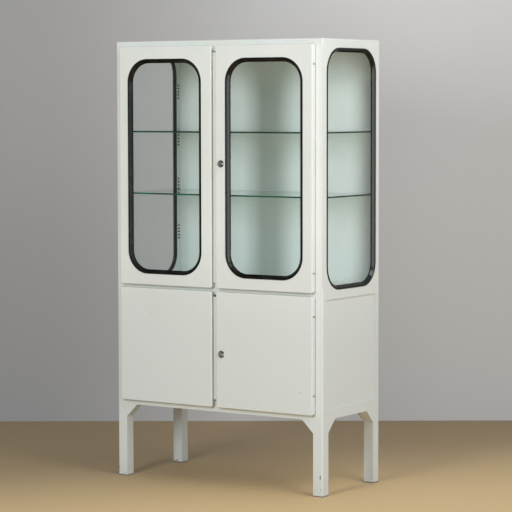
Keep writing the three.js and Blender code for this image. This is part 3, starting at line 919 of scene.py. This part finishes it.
@dataclass
class CamLock:
    """A round lock: a turned barrel in the door, a plug with its keyway and a cam behind."""

    nodes: Nodes
    level: Level
    bore: float = 6.3 * MM
    bezel: float = 13.5 * MM
    bezel_thick: float = 3.0 * MM
    collar: float = 11.5 * MM
    stem: float = 9.0 * MM
    proud: float = 8.0 * MM
    roll: float = 1.3 * MM
    dish_width: float = 1.2 * MM
    dish_depth: float = 0.9 * MM
    dish_rim: float = 0.3 * MM
    turns: int = 48
    roll_steps: int = 5
    sharper_than: float = math.radians(40)
    edge: EdgeBreak = EdgeBreak(0.3 * MM)

    def profile(self, front: float, tail: float) -> list[tuple[float, float]]:
        """Radius and depth round the barrel's turned section.

        Args:
            front: Depth of its front face.
            tail: Depth of its tail.

        Returns:
            The closed profile.
        """

        def rolled(radius: float, depth: float) -> list[tuple[float, float]]:
            """A quarter-round from a face to a flank."""
            turns = [math.pi / 2 * k / self.roll_steps for k in range(self.roll_steps + 1)]
            return [
                (radius - self.roll * (1 - math.sin(turn)), depth + self.roll * (1 - math.cos(turn)))
                for turn in turns
            ]

        door = front + self.proud
        return [
            (self.bore, front + self.dish_depth),
            (self.bore + self.dish_width, front + self.dish_rim),
            *rolled(self.collar, front),
            (self.collar, door - self.bezel_thick),
            *rolled(self.bezel, door - self.bezel_thick),
            (self.bezel, door),
            (self.stem, door),
            (self.stem, tail),
            (self.bore, tail),
        ]

    def build(self, chrome: bpy.types.Material, nickel: bpy.types.Material, zinc: bpy.types.Material) -> None:
        """Turns the barrel and dresses the plug and the cam.

        Args:
            chrome: Finish of the barrel.
            nickel: Finish of the plug.
            zinc: Finish of the cam.
        """
        level = self.level.value
        node = f"{level}_lock_barrel"
        low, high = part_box(node)
        middle = (low + high) / 2
        angles = [2 * math.pi * k / self.turns for k in range(self.turns)]
        rings = [
            [(middle.x + radius * math.cos(a), depth, middle.z + radius * math.sin(a)) for a in angles]
            for radius, depth in self.profile(low.y, high.y)
        ]
        barrel = closed_ring(f"{node}_turned", rings, self.sharper_than)
        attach(barrel, f"{level}_right_door")
        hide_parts(node)
        dress(barrel, chrome)
        dress(self.nodes[f"{level}_lock_plug"], nickel, self.edge)
        dress(self.nodes[f"{level}_lock_cam"], zinc, self.edge)


@dataclass
class SlideBolt:
    """The flat bolt that holds a left leaf shut."""

    nodes: Nodes
    level: Level
    edge: EdgeBreak = EdgeBreak(0.5 * MM)

    def dress(self, zinc: bpy.types.Material) -> None:
        """Plates the bolt."""
        dress(self.nodes[f"{self.level.value}_bolt"], zinc, self.edge)


@dataclass(frozen=True)
class PhotoCamera:
    """The camera that took the photograph, as solved from the cabinet's corners."""

    position: Point = (4.8371, -7.2651, 1.4962)
    azimuth: float = math.radians(33.368)
    pitch: float = math.radians(4.001)
    roll: float = math.radians(-0.096)
    focal_pixels: float = 2218.98
    sight: float = 100.0

    def heading(self) -> Vector:
        """The horizontal direction that it looks in."""
        return Vector((-math.sin(self.azimuth), math.cos(self.azimuth), 0.0))

    def build(self) -> None:
        """Places the camera and makes it the scene's own."""
        lens = bpy.data.cameras.new("photo_camera")
        lens.sensor_width = SENSOR
        lens.lens = SENSOR * self.focal_pixels / IMAGE_SIDE
        lens.clip_end = self.sight
        right = Vector((math.cos(self.azimuth), math.sin(self.azimuth), 0.0))
        forward = self.heading() * math.cos(self.pitch) - Vector((0.0, 0.0, math.sin(self.pitch)))
        up = right.cross(forward)
        turn = Matrix((right, up, -forward)).transposed() @ Matrix.Rotation(self.roll, 3, "Z")
        camera = bpy.data.objects.new("photo_camera", lens)
        camera.matrix_world = Matrix.Translation(self.position) @ turn.to_4x4()
        bpy.context.scene.collection.objects.link(camera)
        bpy.context.scene.camera = camera


@dataclass(frozen=True)
class SoftBox:
    """One large soft lamp, wide by high; a veiled one leaves no white patch on the panes."""

    name: str
    position: Point
    target: Point
    sides: tuple[float, float]
    power: float
    colour: Colour = (0.97, 0.99, 1.0)
    veiled: bool = False

    def build(self) -> None:
        """Hangs the lamp and aims it."""
        lamp = bpy.data.lights.new(self.name, "AREA")
        lamp.shape = "RECTANGLE"
        lamp.size, lamp.size_y = self.sides
        lamp.energy = self.power
        lamp.color = self.colour
        hung = bpy.data.objects.new(self.name, lamp)
        hung.visible_glossy = not self.veiled
        aim = Vector(self.target) - Vector(self.position)
        turn = aim.to_track_quat("-Z", "Y").to_matrix().to_4x4()
        hung.matrix_world = Matrix.Translation(self.position) @ turn
        bpy.context.scene.collection.objects.link(hung)


@dataclass
class Studio:
    """A pale floor and a plain wall across the view, both with painted light gradients, soft lamps and the
    light of a room.
    """

    camera: PhotoCamera
    wall_distance: float = 10.32
    half_width: float = 9.0
    height: float = 7.0
    # painted shade and light: the floor darker to the left and back, lighter towards the front
    floor_finish: PlainSheet = PlainSheet(
        "pale_floor", linear(164, 142, 108), linear(210, 181, 135), (0.88, -0.61, 0.0), (-0.7, 1.0)
    )
    # painted light: the wall darker on the left, lighter on the right
    wall_finish: PlainSheet = PlainSheet(
        "grey_wall", linear(163, 163, 165), linear(216, 216, 218), (0.835, 0.55, 0.0), (-1.0, 1.2)
    )
    far_side: Colour = (0.165, 0.17, 0.17)
    window_side: Colour = (0.83, 0.865, 0.9)
    window_span: tuple[float, float] = (-0.3, 0.9)
    lamps: tuple[SoftBox, ...] = field(
        default_factory=lambda: (
            SoftBox("front_softbox", (0.3, -4.5, 1.95), (0.0, 0.0, 1.1), (0.9, 1.6), 105.0, veiled=True),
            SoftBox(
                "side_softbox", (2.5, -0.7, 3.0), (0.0, -1.0, 1.1), (1.4, 1.4), 34.0, (1.0, 0.985, 0.955)
            ),
            SoftBox("strip_softbox", (2.6, -1.3, 1.25), (0.0, -0.2, 1.2), (0.45, 2.2), 11.0),
        )
    )

    def sheet(self, name: str, corners: Sequence[Vector], finish: PlainSheet) -> None:
        """Lays one flat sheet of the set.

        Args:
            name: Its name.
            corners: Its four corners.
            finish: Its paint.
        """
        mesh = bpy.data.meshes.new(name)
        mesh.from_pydata([tuple(corner) for corner in corners], [], [(0, 1, 2, 3)])
        laid = bpy.data.objects.new(name, mesh)
        mesh.materials.append(finish.material())
        bpy.context.scene.collection.objects.link(laid)

    def build(self) -> None:
        """Sets the floor, the wall, the lamps and the room's light."""
        heading = self.camera.heading()
        sideways = Vector((heading.y, -heading.x, 0.0)) * self.half_width
        foot = Vector((self.camera.position[0], self.camera.position[1], 0.0)) + heading * self.wall_distance
        near = foot - heading * 2 * self.half_width
        up = Vector((0.0, 0.0, self.height))
        left, right = foot - sideways, foot + sideways
        self.sheet("floor", (left, near - sideways, near + sideways, right), self.floor_finish)
        self.sheet("wall", (left, right, right + up, left + up), self.wall_finish)
        for lamp in self.lamps:
            lamp.build()
        bpy.context.scene.world = self.room()
        bpy.context.scene.view_settings.view_transform = "Standard"

    def room(self) -> bpy.types.World:
        """The soft light of the room, brighter towards its window side."""
        graph = Graph(bpy.data.worlds.new("soft_room"))
        toward = graph.part(graph.coordinates("Generated"), "X").rise(*self.window_span)
        light = graph.blend(toward, self.far_side, self.window_side)
        return graph.finish(graph.node("ShaderNodeBackground", None, {"Color": light}))


# last colour of each: painted reflection on faces that look up or down
LOCK_CHROME = Plating("lock_chrome", linear(222, 230, 236), linear(150, 156, 160), 0.26, linear(20, 22, 22))
PLUG_NICKEL = Plating("plug_nickel", linear(206, 216, 226), linear(160, 168, 176), 0.4, linear(70, 72, 72))
ZINC_PLATE = Plating("zinc_plate", linear(172, 174, 172), linear(128, 129, 126), 0.34, linear(150, 151, 148))
# painted shade on the left leaves' edges in the gap between the doors
GAP_SHADE = linear(168, 168, 152)
RUST = linear(96, 78, 60)
DOOR_MARKS = (
    Mark((-0.300, -0.2192, 0.6626), (3 * MM, 3 * MM, 3 * MM), RUST, 0.6),
    Mark((0.127, -0.2192, 0.4104), (2.5 * MM, 3 * MM, 2.5 * MM), RUST, 0.6),
    Mark((0.398, -0.2192, 0.3949), (3 * MM, 3 * MM, 4 * MM), RUST, 0.6),
    # painted shade in the door gap, upper and lower
    Mark((-0.010, -0.208, 1.240), (4 * MM, 9 * MM, 0.75), GAP_SHADE, 0.9),
    Mark((-0.010, -0.208, 0.540), (4 * MM, 9 * MM, 0.45), GAP_SHADE, 0.9),
)
LEG_MARKS = (
    Mark((0.470, -0.1948, 0.075), (4 * MM, 5 * MM, 11 * MM), RUST, 0.8),
    Mark((-0.478, -0.1948, 0.030), (4 * MM, 8 * MM, 7 * MM), RUST, 0.6),
)


def main() -> None:
    """Builds the studio and dresses every sub-assembly in turn."""
    logging.basicConfig(level=logging.INFO)
    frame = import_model()
    nodes: Nodes = frame["nodes"]
    white, cloud = linear(222, 227, 225), linear(215, 221, 218)
    carcass_paint = Enamel("carcass_enamel", white, cloud, marks=LEG_MARKS, hollow_shade=TubeHollowShade()).material()
    door_paint = Enamel("door_enamel", white, cloud, marks=DOOR_MARKS).material()
    # painted light: a brighter, cooler copy of the white for the panels behind the glass
    brightened_inside_paint = Enamel("brightened_inside_enamel", linear(232, 241, 240), linear(228, 237, 236)).material()
    rubber, pane, shelf = Rubber().material(), PaneGlass().material(), ShelfGlass().material()
    chrome, nickel, zinc = (finish.material() for finish in (LOCK_CHROME, PLUG_NICKEL, ZINC_PLATE))

    camera = PhotoCamera()
    camera.build()
    Studio(camera).build()

    fittings = ("_gasket", "_glass", "_shelf")
    members = frame["record"]["behaviour"]["bodies"]["cabinet"]
    Carcass(nodes, carcass_paint, brightened_inside_paint).dress(
        [name for name in members if not name.endswith(fittings) and "_clip_" not in name]
    )
    for facing in (Facing.LEFT, Facing.RIGHT):
        SideWindow(nodes, facing).build(rubber, pane)
    ShelfSet(nodes).dress(shelf, zinc)
    for level in Level:
        for side in Side:
            door = Door(nodes, level, side)
            door.dress(door_paint)
            if level is Level.UPPER:
                door.glaze(rubber, pane)
        CamLock(nodes, level).build(chrome, nickel, zinc)
        SlideBolt(nodes, level).dress(zinc)


if __name__ == "__main__":
    main()
